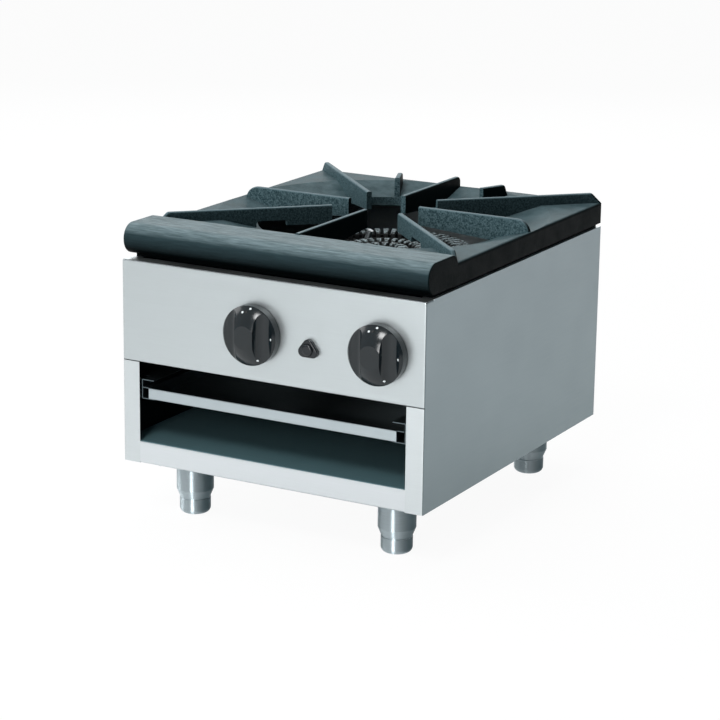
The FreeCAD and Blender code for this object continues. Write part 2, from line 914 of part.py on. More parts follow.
# ---------------------------------------------------------------- the burner
def burner_head(name, rims):
    """A hollow head with one or more crowned rims, outermost first, each notched all round. A rim
    is its outer radius, its width and its count of ports."""
    body = new_body(name + "_head")
    section, channel = [], []
    for i, (radius, width, _count) in enumerate(rims):
        inner = f"({radius} - {width})"
        low = "ring_floor" if i else "0"
        channel_low = "ring_floor - ring_wall" if i else "ring_wall"
        section += [
            (radius, low),
            (radius, "ring_height - ring_chamfer"),
            (f"{radius} - ring_chamfer", "ring_height"),
            (f"{inner} + ring_chamfer", "ring_height"),
            (inner, "ring_height - ring_chamfer"),
        ]
        channel += [
            (f"{radius} - ring_wall", channel_low),
            (f"{radius} - ring_wall", "ring_height - ring_roof"),
            (f"{inner} + ring_wall", "ring_height - ring_roof"),
        ]
        if i < len(rims) - 1:
            section.append((inner, "ring_floor"))
            channel.append((f"{inner} + ring_wall", "ring_floor - ring_wall"))
    section.append((inner, "0"))
    channel.append((f"{inner} + ring_wall", "ring_wall"))
    turn(body, section, channel)
    for radius, width, count in rims:
        slot = rectangle(
            f"{radius} - {width} - {PAST}", f"{radius} + {PAST}", "0 - port_width / 2", "port_width / 2"
        )
        port = pocket(body, "XY_Plane", "ring_height - port_depth", f"ring_height + {PAST}", slot)
        around(body, port, count)
    bind(body, "Placement.Base.y", "centre")
    bind(body, "Placement.Base.z", "ring_base")
    return body


def burner(name, head, x, z, riser_y):
    """A burner casting: its ring, and the mixing tube that feeds it from the front."""
    tube = rod(name + "_tube", "y", "venturi_radius", (x, "mouth", z), riser_y)
    elbow = ball(name + "_elbow", "venturi_radius", (x, riser_y, z))
    riser = rod(name + "_riser", "z", "riser_radius", (x, riser_y, z), "ring_base + ring_wall / 2")
    bore_start = "mouth + ring_wall"
    bore = rod(name + "_bore", "y", "venturi_bore", (x, bore_start, z), riser_y)
    bend_bore = ball(name + "_bend", "venturi_bore", (x, riser_y, z))
    riser_bore = rod(name + "_way", "z", "riser_bore", (x, riser_y, z), f"ring_base + ring_wall + {PAST}")
    jet = rod(
        name + "_jet",
        "y",
        "orifice_radius + orifice_play",
        (x, f"mouth - {PAST}", z),
        f"{bore_start} + {PAST}",
    )
    windows = box(
        name + "_windows",
        (f"{x} - window_width / 2", "mouth + window_setback", f"{z} - venturi_radius - {PAST}"),
        (
            f"{x} + window_width / 2",
            "mouth + window_setback + window_length",
            f"{z} + venturi_radius + {PAST}",
        ),
    )
    whole = fuse(name + "_solid", head, tube, elbow, riser)
    whole = cut(name, whole, bore, bend_bore, riser_bore, jet, windows)
    return keep(whole, name)


def air_shutter(name, x, z):
    """A sleeve round the mouth of the mixing tube, turned to set the air."""
    start, end = "mouth", "mouth + shutter_length"
    inner = "venturi_radius + shutter_play"
    sleeve = rod(name + "_sleeve", "y", f"{inner} + shutter_thick", (x, start, z), end)
    bore = rod(name + "_bore", "y", inner, (x, f"{start} - {PAST}", z), f"{end} + {PAST}")
    reach = f"({inner} + shutter_thick + {PAST})"
    windows = box(
        name + "_windows",
        (f"{x} - window_width / 2", "mouth + window_setback", f"{z} - {reach}"),
        (f"{x} + window_width / 2", "mouth + window_setback + window_length", f"{z} + {reach}"),
    )
    return keep(cut(name, sleeve, bore, windows), name)


def burner_bearer(name, side):
    """An angle from the heat shield to the rear skin that carries the burner rings."""
    body = new_body(name)
    inner = f"{side} * bearer_inner"
    outer = f"{side} * (bearer_inner + bearer_leg)"
    web = f"{side} * (bearer_inner + bearer_leg - bearer_thick)"
    section = [
        (inner, "ring_base"),
        (outer, "ring_base"),
        (outer, "ring_base - bearer_leg"),
        (web, "ring_base - bearer_leg"),
        (web, "ring_base - bearer_thick"),
        (inner, "ring_base - bearer_thick"),
    ]
    pad(body, "XZ_Plane", "shield + sheet_thick", "rear_skin", section)
    return keep(body, name)


def pilot_burner():
    """A short tilted tube between the rings, on a plate across the left bearer."""
    x, y = "pilot_x", "centre + pilot_y"
    tube = doc.addObject("Part::Cylinder", "pilot_stub")
    bind(tube, "Radius", "pilot_radius")
    bind(tube, "Height", "pilot_length")
    tilt = FreeCAD.Rotation(FreeCAD.Vector(0, 1, 0), number("pilot_tilt"))
    tube.Placement = FreeCAD.Placement(FreeCAD.Vector(), tilt)
    bind(tube, "Placement.Base.x", x)
    bind(tube, "Placement.Base.y", y)
    bind(tube, "Placement.Base.z", "ring_base + pilot_plate + pilot_radius / 2")
    start = f"{x} - pilot_foot_width / 2"
    plate = box(
        "pilot_foot",
        (start, f"{y} - pilot_foot_width / 2", "ring_base"),
        (
            f"{start} + pilot_foot_length",
            f"{y} + pilot_foot_width / 2",
            "ring_base + pilot_plate + pilot_radius",
        ),
    )
    return keep(fuse("pilot_burner", tube, plate), "pilot_burner")


# ---------------------------------------------------------------- the gas train
def valve(name, x, end_radius):
    """A brass valve: its barrel, and the saddle that sits on the manifold."""
    start = "front + valve_setback"
    shoulder = "valve_end - valve_neck"
    barrel = rod(name + "_barrel", "y", "valve_radius", (x, start, "knob_z"), shoulder)
    neck = rod(name + "_neck", "y", end_radius, (x, f"{shoulder} - {SINK}", "knob_z"), "valve_end")
    saddle = rod(
        name + "_saddle",
        "z",
        "saddle_radius",
        (x, "manifold_y", "manifold_z + manifold_radius"),
        "knob_z",
    )
    bore = rod(
        name + "_bore",
        "y",
        "stem_radius + stem_fit",
        (x, f"{start} - {PAST}", "knob_z"),
        f"{start} + stem_in_valve",
    )
    return keep(cut(name, fuse(name + "_solid", barrel, neck, saddle), bore), name)


def manifold():
    """The pipe that feeds both valves, closed at the left end, with its elbow at the right."""
    y, z = "manifold_y", "manifold_z"
    start, wide = "0 - half + manifold_end", "manifold_radius + fitting_wall"
    run = rod("manifold_run", "x", "manifold_radius", (start, y, z), "supply_x")
    cap_start = f"{start} - cap_end"
    cap = rod("manifold_cap", "x", wide, (cap_start, y, z), f"{cap_start} + cap_length")
    elbow = ball("manifold_elbow", wide, ("supply_x", y, z))
    stub = rod("manifold_stub", "y", wide, ("supply_x", y, z), "elbow_end")
    ways = [
        rod("manifold_way", "x", "manifold_bore", (start, y, z), "supply_x"),
        rod("manifold_turn", "y", "manifold_bore", ("supply_x", y, z), f"elbow_end + {PAST}"),
    ]
    return keep(cut("manifold", fuse("manifold_solid", run, cap, elbow, stub), *ways), "manifold")


def gas_inlet():
    """The supply pipe from the manifold's elbow out through the rear skin."""
    x, z, end = "supply_x", "manifold_z", "back + inlet_reach"
    pipe = rod("inlet_pipe", "y", "manifold_radius", (x, "elbow_end", z), end)
    way = rod("inlet_way", "y", "manifold_bore", (x, f"elbow_end - {PAST}", z), f"{end} + {PAST}")
    return keep(cut("gas_inlet", pipe, way), "gas_inlet")


def orifice(name, x, start, z):
    """A brass jet that reaches into the mouth of the mixing tube."""
    end = "mouth + orifice_insert"
    hood = rod(name + "_hood", "y", "orifice_radius", (x, start, z), end)
    jet = rod(name + "_jet", "y", "jet_radius", (x, f"{start} + orifice_insert", z), f"{end} + {PAST}")
    return keep(cut(name, hood, jet), name)


def gas_tube():
    """The tube from the right valve across to the inner burner's jet."""
    r, y = "gas_tube_radius", "front + gas_tube_setback"
    end_x, start_x, low, high = "inner_venturi_x", "right_knob_x", "inner_axis", "knob_z"
    pieces = [
        rod("tube_rear", "y", r, (start_x, "valve_end", high), y),
        ball("tube_turn_one", r, (start_x, y, high)),
        rod("tube_across", "x", r, (end_x, y, high), start_x),
        ball("tube_turn_two", r, (end_x, y, high)),
        rod("tube_down", "z", r, (end_x, y, low), high),
        ball("tube_turn_three", r, (end_x, y, low)),
    ]
    return keep(fuse("gas_tube", *pieces), "gas_tube")


# ---------------------------------------------------------------- knobs and igniter
def knob(name, x):
    """A domed knob: two scoops leave an upright grip bar across its face."""
    start, z = "front - knob_gap", "knob_z"
    skirt = rod(name + "_skirt", "y", "knob_radius", (x, "front - knob_reach", z), start)
    rim_y = "front - knob_rim"
    dome_y = f"{rim_y} + sqrt(dome_radius ^ 2 - knob_radius ^ 2)"
    dome = ball(name + "_dome", "dome_radius", (x, dome_y, z))
    form = common(name + "_form", skirt, dome)
    scoop_y = "front - knob_reach + scoop_depth - scoop_radius"
    scoop_x = "(grip_half + scoop_radius)"
    scoops = [
        rod(
            f"{name}_scoop_{side + 2}",
            "z",
            "scoop_radius",
            (f"{x} + {side} * {scoop_x}", scoop_y, f"{z} - knob_radius"),
            f"{z} + knob_radius",
        )
        for side in (-1, 1)
    ]
    deep, rear = f"{start} - knob_cavity", f"{start} + {PAST}"
    cavity = rod(name + "_cavity", "y", "knob_radius - knob_wall", (x, deep, z), rear)
    hub = rod(name + "_hub", "y", "hub_radius", (x, f"{deep} - {SINK}", z), start)
    bore = rod(name + "_bore", "y", "stem_radius + stem_fit", (x, "front - stem_in_knob", z), rear)
    shell = cut(name + "_shell", form, cavity, *scoops)
    return keep(cut(name, fuse(name + "_hubbed", shell, hub), bore), name)


def stem(name, x):
    """The valve stem, from inside the knob to inside the valve."""
    end = "front + valve_setback + stem_in_valve"
    return keep(rod(name, "y", "stem_radius", (x, "front - stem_in_knob", "knob_z"), end), name)


def igniter_bezel():
    """The rounded three-sided bezel on the panel, with its threaded barrel behind it."""
    body = new_body("igniter_bezel")
    face, well = "front - bezel_depth", "front - bezel_floor"
    corners = [
        ("igniter_x - bezel_base", "igniter_z - bezel_flat"),
        ("igniter_x + bezel_base", "igniter_z - bezel_flat"),
        ("igniter_x", "igniter_z + bezel_peak"),
    ]
    pad(body, "XZ_Plane", face, "front", corners)
    rounded(body, "bezel_round", lambda e: along(e, "y"))
    rounded(body, "bezel_edge", lambda e: all(at(v.Y, face) for v in e.Vertexes))
    barrel_end = "front + barrel_length"
    pad(body, "XZ_Plane", "front", barrel_end, ("igniter_x", "igniter_z", "barrel_radius"))
    pocket(body, "XZ_Plane", face, well, ("igniter_x", "igniter_z", "button_radius + button_play"))
    way = ("igniter_x", "igniter_z", "plunger_radius + button_play")
    pocket(body, "XZ_Plane", well, barrel_end, way)
    return keep(body, "igniter_bezel")


def igniter_button():
    """The domed push button with the plunger that works the igniter."""
    nose = "front - button_depth"
    rest = "front - bezel_floor - button_travel - button_rest"
    cap = rod("button_cap", "y", "button_radius", ("igniter_x", nose, "igniter_z"), rest)
    cap = bend("button_domed", cap, "button_dome", lambda e: all(at(v.Y, nose) for v in e.Vertexes))
    start, end = f"{rest} - {SINK}", "front + barrel_length - button_travel - button_rest"
    plunger = rod("button_plunger", "y", "plunger_radius", ("igniter_x", start, "igniter_z"), end)
    return keep(fuse("igniter_button", cap, plunger), "igniter_button")


def igniter_parts():
    """The nut behind the panel and the spark generator that the barrel carries."""
    x, z = "igniter_x", "igniter_z"
    start = "front + sheet_thick"
    end = f"{start} + nut_thick"
    ring = rod("nut_ring", "y", "nut_radius", (x, start, z), end)
    hole = rod("nut_hole", "y", "barrel_radius", (x, f"{start} - {PAST}", z), f"{end} + {PAST}")
    keep(cut("igniter_nut", ring, hole), "igniter_nut")
    start = "front + barrel_length"
    keep(
        rod("spark_generator", "y", "piezo_radius", (x, start, z), f"{start} + piezo_length"),
        "spark_generator",
    )


# ---------------------------------------------------------------- the legs
CORNERS = {
    "front_left": (-1, "front + leg_end", "front", 1),
    "front_right": (1, "front + leg_end", "front", 1),
    "rear_left": (-1, "back - leg_end", "back", -1),
    "rear_right": (1, "back - leg_end", "back", -1),
}


def leg_sleeve(name, side, y):
    """The fixed upper part of a leg: a straight sleeve that tapers to a neck."""
    body = new_body(name)
    height = "leg_height + sheet_thick"
    neck = "leg_height - sleeve_length"
    section = [
        ("stud_radius + stud_play", neck),
        ("neck_radius", neck),
        ("sleeve_radius", "leg_height - sleeve_straight"),
        ("sleeve_radius", height),
        ("bolt_radius", height),
        ("bolt_radius", f"{height} - bolt_length"),
        ("stud_radius + stud_play", f"{height} - bolt_length"),
    ]
    turn(body, section)
    bind(body, "Placement.Base.x", f"{side} * (half - leg_side)")
    bind(body, "Placement.Base.y", y)
    return keep(body, name)


def foot_insert(name, side, y):
    """The screwed foot of a leg, with its stud up into the sleeve."""
    body = new_body(name)
    neck = "leg_height - sleeve_length"
    section = [
        ("0", "0"),
        ("foot_radius", "0"),
        ("foot_radius", f"{neck} - foot_edge"),
        ("foot_radius - foot_edge", neck),
        ("stud_radius", neck),
        ("stud_radius", f"{neck} + stud_length"),
        ("0", f"{neck} + stud_length"),
    ]
    turn(body, section)
    rounded(
        body,
        "foot_round",
        lambda e: len(e.Vertexes) == 1 and at(e.BoundBox.ZMax, "0") and e.Length > number("foot_radius"),
    )
    bind(body, "Placement.Base.x", f"{side} * (half - leg_side)")
    bind(body, "Placement.Base.y", y)
    return keep(body, name)


def leg_plate(name, side, edge, inward):
    """A plate across the corner of the base that carries one leg."""
    body = new_body(name)
    outer = f"{side} * (half - sheet_thick)"
    inner = f"{side} * (half - plate_span)"
    skin = "sheet_thick" if edge == "front" else "2 * sheet_thick"
    start = f"{edge} + {inward} * ({skin})"
    end = f"{edge} + {inward} * plate_span"
    pad(body, "XY_Plane", "plate_base", "plate_base + plate_thick", rectangle(outer, inner, start, end))
    leg_y = f"{edge} + {inward} * leg_end"
    hole = (f"{side} * (half - leg_side)", leg_y, "bolt_radius")
    pocket(body, "XY_Plane", "plate_base", "plate_base + plate_thick", hole)
    return keep(body, name)


def leg_bolts():
    """The four hexagon bolts that hold the sleeves to their plates."""
    pieces = []
    for name, (side, y, _edge, _inward) in CORNERS.items():
        x = f"{side} * (half - leg_side)"
        seat = "plate_base + plate_thick"
        head = doc.addObject("Part::Prism", "bolt_head_" + name)
        head.Polygon = 6
        bind(head, "Circumradius", "bolt_head")
        bind(head, "Height", "bolt_head_height")
        bind(head, "Placement.Base.x", x)
        bind(head, "Placement.Base.y", y)
        bind(head, "Placement.Base.z", seat)
        low = "plate_base - bolt_length + bolt_end_gap"
        shank = rod("bolt_shank_" + name, "z", "bolt_radius", (x, y, low), f"{seat} + {SINK}")
        pieces.append(fuse("bolt_" + name, head, shank))
    return keep(fuse("leg_bolts", *pieces), "leg_bolts")


def plate_screws():
    """The small screws up through the base flanges at the front corners."""
    pieces = []
    for side in (-1, 1):
        x, y = f"{side} * (half - screw_far)", "front + screw_near"
        low = "base - screw_head_height"
        head = rod(f"screw_head_{side + 2}", "z", "screw_head", (x, y, low), "base")
        head = bend(
            f"screw_domed_{side + 2}",
            head,
            "screw_dome",
            lambda e: len(e.Vertexes) == 1 and at(e.BoundBox.ZMax, low),
        )
        shank = rod(f"screw_shank_{side + 2}", "z", "screw_radius", (x, y, f"base - {SINK}"), "plate_base")
        pieces.append(fuse(f"screw_{side + 2}", head, shank))
    return keep(fuse("plate_screws", *pieces), "plate_screws")


# ---------------------------------------------------------------- the whole range
def build():
    """Makes every sub-part."""
    for name, side in (("side_panel_left", -1), ("side_panel_right", 1)):
        side_panel(name, side)
    control_panel()
    bottom_pan()
    rear_panel()
    heat_shield()
    for name, side in (("tray_runner_left", -1), ("tray_runner_right", 1)):
        tray_runner(name, side)
    drip_tray()
    top_grate()
    outer_rim = ("outer_ring_radius", "outer_ring_width", "outer_ports")
    outer_head = burner_head("outer_burner", [outer_rim])
    burner("outer_burner", outer_head, "left_knob_x", "knob_z", "outer_riser")
    inner_rim = ("inner_ring_radius", "inner_ring_width", "inner_ports")
    centre_rim = ("centre_ring_radius", "centre_ring_width", "centre_ports")
    inner_head = burner_head("inner_burner", [inner_rim, centre_rim])
    burner("inner_burner", inner_head, "inner_venturi_x", "inner_axis", "inner_riser")
    air_shutter("outer_air_shutter", "left_knob_x", "knob_z")
    air_shutter("inner_air_shutter", "inner_venturi_x", "inner_axis")
    for name, side in (("burner_bearer_left", -1), ("burner_bearer_right", 1)):
        burner_bearer(name, side)
    pilot_burner()
    valve("valve_left", "left_knob_x", "orifice_radius")
    valve("valve_right", "right_knob_x", "gas_tube_radius + union_wall")
    manifold()
    gas_inlet()
    orifice("outer_orifice", "left_knob_x", "valve_end", "knob_z")
    orifice("inner_orifice", "inner_venturi_x", "front + gas_tube_setback + gas_tube_radius", "inner_axis")
    gas_tube()
    for name, x in (("left", "left_knob_x"), ("right", "right_knob_x")):
        knob("knob_" + name, x)
        stem("stem_" + name, x)
    igniter_bezel()
    igniter_button()
    igniter_parts()
    for corner, (side, y, edge, inward) in CORNERS.items():
        leg_sleeve("leg_sleeve_" + corner, side, y)
        foot_insert("foot_" + corner, side, y)
        leg_plate("leg_plate_" + corner, side, edge, inward)
    leg_bolts()
    plate_screws()


def check_and_write():
    """Stops on any failed object or empty shape, then writes one file for each sub-part."""
    doc.recompute()
    for thing in doc.Objects:
        assert not {"Invalid", "Error"} & set(thing.State), thing.Label + " failed"
    for piece in finished:
        shape = piece.Shape
        assert not shape.isNull() and shape.isValid(), piece.Label + " has no sound shape"
    os.makedirs("parts", exist_ok=True)
    for piece in finished:
        piece.Shape.exportStep(os.path.join("parts", piece.Label + ".step"))
        print(piece.Label, len(piece.Shape.Solids), round(piece.Shape.Volume))


build()
check_and_write()
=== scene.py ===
# %% [markdown]
# # A stock pot range
# The object is a low gas range for one large pot. A heavy iron grate with eight fins sits on a box
# of brushed stainless sheet. The front carries two domed knobs and an igniter button above an open
# bay with a drip tray, and the range stands on four short metal legs.
#
# This lesson dresses them: each piece gets the material of the real thing, and the small marks that
# are printed rather than built are added as thin meshes. Everything is in metres, +Z up.

# %% Load the frame
import math

import bmesh
import bpy
from mathutils import Matrix, Vector


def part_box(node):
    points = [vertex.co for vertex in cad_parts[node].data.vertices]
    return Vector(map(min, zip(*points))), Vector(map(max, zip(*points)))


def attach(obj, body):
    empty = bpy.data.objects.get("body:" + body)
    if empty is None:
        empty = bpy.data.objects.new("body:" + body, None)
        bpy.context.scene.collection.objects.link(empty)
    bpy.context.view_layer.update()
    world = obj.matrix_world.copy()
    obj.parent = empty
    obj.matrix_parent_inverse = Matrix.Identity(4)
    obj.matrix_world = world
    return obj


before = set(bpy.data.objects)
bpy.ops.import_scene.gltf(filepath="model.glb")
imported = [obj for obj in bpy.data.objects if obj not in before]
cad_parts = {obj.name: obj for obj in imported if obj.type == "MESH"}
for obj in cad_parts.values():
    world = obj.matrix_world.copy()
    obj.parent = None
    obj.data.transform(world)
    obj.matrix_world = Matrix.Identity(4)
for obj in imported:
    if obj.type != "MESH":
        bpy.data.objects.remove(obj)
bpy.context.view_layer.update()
MM = 0.001

# %% [markdown]
# ## Places to work from
# Nothing is typed in twice: the places used below are read from the pieces themselves. A node's box
# gives its lowest and highest corner, so the middle of a knob or the top of the body is one line.

# %% Places read from the pieces
panel_low, panel_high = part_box("control_panel")
body_front = panel_low.y
body_top = panel_high.z
side_low, side_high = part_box("side_panel_right")
body_low = Vector((-side_high.x, side_low.y, side_low.z))
body_high = Vector(side_high)
body_middle = (body_low + body_high) / 2
print("body top %.1f mm, front y %.1f mm" % (body_top / MM, body_front / MM))


def middle(name):
    """The centre of a node's box."""
    low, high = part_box(name)
    return (low + high) / 2


# %% [markdown]
# ## The camera
# The photograph was taken with a long lens from the front right, a little above the grate. Azimuth
# and elevation say where the camera stands, seen from the middle of the body. Its distance is what
# gives the edges of the box their slight convergence.

# %% Camera
CAMERA_AZIMUTH = math.radians(28.91)
CAMERA_ELEVATION = math.radians(15.24)
CAMERA_ROLL = math.radians(0.77)
CAMERA_DISTANCE = 3.43914
CAMERA_ACROSS = -12.07 * MM
CAMERA_UP = -28.04 * MM
FAR_CLIP = 50
SENSOR_WIDTH = 36.0
PHOTO_PIXELS = 720
FOCAL_PIXELS = 2472.29
FOCAL_LENGTH = FOCAL_PIXELS / PHOTO_PIXELS * SENSOR_WIDTH


def camera_axes():
    """Right, up and backward directions of the camera."""
    sin_a, cos_a = math.sin(CAMERA_AZIMUTH), math.cos(CAMERA_AZIMUTH)
    sin_e, cos_e = math.sin(CAMERA_ELEVATION), math.cos(CAMERA_ELEVATION)
    backward = Vector((sin_a * cos_e, -cos_a * cos_e, sin_e))
    level_right = Vector((cos_a, sin_a, 0))
    level_up = backward.cross(level_right)
    cos_r, sin_r = math.cos(CAMERA_ROLL), math.sin(CAMERA_ROLL)
    right = level_right * cos_r + level_up * sin_r
    up = level_up * cos_r - level_right * sin_r
    return right, up, backward


right, up, backward = camera_axes()
camera_data = bpy.data.cameras.new("camera")
camera_data.sensor_width = SENSOR_WIDTH
camera_data.lens = FOCAL_LENGTH
camera_data.clip_end = FAR_CLIP
camera = bpy.data.objects.new("camera", camera_data)
bpy.context.scene.collection.objects.link(camera)
spot = body_middle + backward * CAMERA_DISTANCE + right * CAMERA_ACROSS + up * CAMERA_UP
turn = Matrix((right, up, backward)).transposed().to_4x4()
camera.matrix_world = Matrix.Translation(spot) @ turn
bpy.context.scene.camera = camera
print("lens %.1f mm, camera at" % FOCAL_LENGTH, [round(v, 3) for v in spot])

# %% [markdown]
# ## Light and background
# The photograph is a cut-out on white, so the floor is white paper and the camera sees white behind
# it. The camera sees the paper as nearly white too, with a small share of its own shading, which
# keeps the range's soft shadow. Everything else is lit by a pale dome, brighter to the left than on
# the right, and by five lamps. A small one high in front gives the main light. An upright strip low
# in front is what the legs mirror, because the body shades them from the first. Three large weak
# ones stand at the left, behind and above. Together they light a colour at about the level at which
# it is written.

# %% Colour and node helpers
scene = bpy.context.scene
scene.view_settings.view_transform = "Standard"


def linear(hex_colour):
    """An sRGB hex colour as linear RGBA."""
    channels = [int(hex_colour[i : i + 2], 16) / 255 for i in (1, 3, 5)]
    curve = [c / 12.92 if c <= 0.04045 else ((c + 0.055) / 1.055) ** 2.4 for c in channels]
    return (*curve, 1.0)


def node(tree, kind, settings=None, links=None):
    """Adds one shader node, sets its properties or sockets, and links its inputs."""
    made = tree.nodes.new(kind)
    for name, value in (settings or {}).items():
        if isinstance(name, str) and hasattr(made, name):
            setattr(made, name, value)
        else:
            made.inputs[name].default_value = value
    for name, source in (links or {}).items():
        tree.links.new(source, made.inputs[name])
    return made


print("orange as linear:", [round(v, 3) for v in linear("#FF8000")])

# %% The room
ROOM_LEFT, ROOM_BRIGHT = -0.6, 0.75
ROOM_RIGHT, ROOM_DIM = 0.9, 0.18
world = bpy.data.worlds.new("studio")
scene.world = world
world.use_nodes = True
tree = world.node_tree
tree.nodes.clear()
direction = node(tree, "ShaderNodeTexCoord")
axes = node(tree, "ShaderNodeSeparateXYZ", {}, {0: direction.outputs["Generated"]})
side_light = node(
    tree,
    "ShaderNodeMapRange",
    {"From Min": ROOM_LEFT, "From Max": ROOM_RIGHT, "To Min": ROOM_BRIGHT, "To Max": ROOM_DIM},
    {"Value": axes.outputs["X"]},
)
room = node(
    tree,
    "ShaderNodeBackground",
    {"Color": linear("#F4F7F8")},
    {"Strength": side_light.outputs["Result"]},
)
backdrop = node(tree, "ShaderNodeBackground", {"Color": (1, 1, 1, 1), "Strength": 1.0})
path = node(tree, "ShaderNodeLightPath")
sky = node(
    tree,
    "ShaderNodeMixShader",
    {},
    {0: path.outputs["Is Camera Ray"], 1: room.outputs[0], 2: backdrop.outputs[0]},
)
node(tree, "ShaderNodeOutputWorld", {}, {"Surface": sky.outputs[0]})
print("room from", ROOM_BRIGHT, "at the left to", ROOM_DIM, "at the right")

# %% Soft boxes
RANGE_HEART = Vector((0, 0, 0.25))
# Each lamp's name, place and size in metres, and power in watts
LAMPS = (
    ("front_box", (0.12, -2.26, 2.5), (0.75, 0.75), 36),
    ("strip_box", (0.33, -3.2, 0.85), (0.7, 1.6), 42),
    ("left_box", (-2.8, -0.4, 1.4), (1.4, 1.8), 20),
    ("back_box", (-1.5, 2.7, 1.5), (3.0, 1.6), 28),
    ("top_box", (-0.4, 0.6, 3.0), (2.2, 1.6), 25),
)


def soft_box(name, place, size, power):
    """A rectangular area lamp that faces the heart of the range."""
    lamp_data = bpy.data.lights.new(name, "AREA")
    lamp_data.shape = "RECTANGLE"
    lamp_data.size, lamp_data.size_y = size
    lamp_data.energy = power
    lamp = bpy.data.objects.new(name, lamp_data)
    scene.collection.objects.link(lamp)
    lamp.location = place
    lamp.rotation_euler = (RANGE_HEART - Vector(place)).to_track_quat("-Z", "Y").to_euler()
    print(name, power, "W")


for lamp in LAMPS:
    soft_box(*lamp)

# %% The paper floor
FLOOR_HALF = 8.0
SEEN_WHITE = 0.94
GLOSS_WHITE = 0.35
floor_mesh = bpy.data.meshes.new("floor")
corner_signs = ((-1, -1), (1, -1), (1, 1), (-1, 1))
corners = [(x * FLOOR_HALF, y * FLOOR_HALF, 0) for x, y in corner_signs]
floor_mesh.from_pydata(corners, [], [(0, 1, 2, 3)])
floor = bpy.data.objects.new("floor", floor_mesh)
scene.collection.objects.link(floor)
paper = bpy.data.materials.new("white_paper")
paper.use_nodes = True
tree = paper.node_tree
tree.nodes.clear()
matt = node(tree, "ShaderNodeBsdfDiffuse", {"Color": linear("#F7F8F8")})
white = node(tree, "ShaderNodeEmission", {"Color": (1, 1, 1, 1), "Strength": 1.0})
path = node(tree, "ShaderNodeLightPath")
seen = node(
    tree,
    "ShaderNodeMath",
    {"operation": "MULTIPLY", 1: SEEN_WHITE},
    {0: path.outputs["Is Camera Ray"]},
)
mirrored = node(
    tree,
    "ShaderNodeMath",
    {"operation": "MAXIMUM"},
    {0: path.outputs["Is Glossy Ray"], 1: path.outputs["Is Transmission Ray"]},
)
share = node(
    tree,
    "ShaderNodeMath",
    {"operation": "MULTIPLY_ADD", 1: GLOSS_WHITE},
    {0: mirrored.outputs[0], 2: seen.outputs[0]},
)
mixed = node(
    tree,
    "ShaderNodeMixShader",
    {},
    {0: share.outputs[0], 1: matt.outputs[0], 2: white.outputs[0]},
)
node(tree, "ShaderNodeOutputMaterial", {}, {"Surface": mixed.outputs[0]})
floor.data.materials.append(paper)
print("floor", 2 * FLOOR_HALF, "m square")

# %% [markdown]
# ## Materials
# Each material starts from a Principled shader and from what the real surface is. Patterns use
# object coordinates, which on these pieces are real metres, so dividing them by a period in
# millimetres gives a pattern of that size. Two masks come back again and again: how far a face
# looks along an axis, which paints shade on the sides of the sheet, and whether a point lies inside
# the body, where the sheet is painted dark with shade.

# %% Material helpers
def new_material(name):
    """A material with an empty Principled shader wired to its output."""
    material = bpy.data.materials.new(name)
    material.use_nodes = True
    tree = material.node_tree
    tree.nodes.clear()
    shader = node(tree, "ShaderNodeBsdfPrincipled")
    node(tree, "ShaderNodeOutputMaterial", {}, {"Surface": shader.outputs[0]})
    return material, tree, shader


def dress(material, *names):
    """Gives each named node this material in every slot."""
    for name in names:
        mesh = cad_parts[name].data
        if not mesh.materials:
            mesh.materials.append(material)
        for slot in range(len(mesh.materials)):
            mesh.materials[slot] = material
    print(material.name, "on", len(names), "pieces")


def in_periods(tree, period_mm, stretch=(1.0, 1.0, 1.0)):
    """The object's coordinates counted in periods; a large stretch makes streaks along an axis."""
    place = node(tree, "ShaderNodeTexCoord")
    scale = [1 / (period_mm * MM * axis) for axis in stretch]
    counted = node(
        tree, "ShaderNodeMapping", {"Scale": scale}, {"Vector": place.outputs["Object"]}
    )
    return counted.outputs[0]


def facing(tree, axis, start=0.35, end=0.85):
    """From 0 to 1: how squarely a face looks along X, Y or Z, either way."""
    geometry = node(tree, "ShaderNodeNewGeometry")
    parts = node(tree, "ShaderNodeSeparateXYZ", {}, {0: geometry.outputs["Normal"]})
    size = node(tree, "ShaderNodeMath", {"operation": "ABSOLUTE"}, {0: parts.outputs[axis]})
    ramp = {"interpolation_type": "SMOOTHSTEP", "From Min": start, "From Max": end}
    return node(tree, "ShaderNodeMapRange", ramp, {"Value": size.outputs[0]}).outputs["Result"]


def inside_body(tree, margin=0.6 * MM):
    """1 for points within the steel body by more than the margin, 0 outside."""
    place = node(tree, "ShaderNodeTexCoord")
    reach = (body_high - body_low) / 2 - Vector((margin, margin, margin))
    from_middle = {"operation": "SUBTRACT", 1: body_middle}
    moved = node(tree, "ShaderNodeVectorMath", from_middle, {0: place.outputs["Object"]})
    size = node(tree, "ShaderNodeVectorMath", {"operation": "ABSOLUTE"}, {0: moved.outputs[0]})
    by_reach = {"operation": "DIVIDE", 1: reach}
    share = node(tree, "ShaderNodeVectorMath", by_reach, {0: size.outputs[0]})
    parts = node(tree, "ShaderNodeSeparateXYZ", {}, {0: share.outputs[0]})
    larger = {"operation": "MAXIMUM"}
    wide = node(
        tree, "ShaderNodeMath", larger, {0: parts.outputs["X"], 1: parts.outputs["Y"]}
    )
    most = node(tree, "ShaderNodeMath", larger, {0: wide.outputs[0], 1: parts.outputs["Z"]})
    within = {"operation": "LESS_THAN", 1: 1.0}
    return node(tree, "ShaderNodeMath", within, {0: most.outputs[0]}).outputs[0]


def blend(tree, share, first, second):
    """Mixes two colours; each is a hex string or another node's output."""
    mix = node(tree, "ShaderNodeMix", {"data_type": "RGBA"})
    for socket, colour in ((6, first), (7, second)):
        if isinstance(colour, str):
            mix.inputs[socket].default_value = linear(colour)
        else:
            tree.links.new(colour, mix.inputs[socket])
    tree.links.new(share, mix.inputs[0])
    return mix.outputs[2]


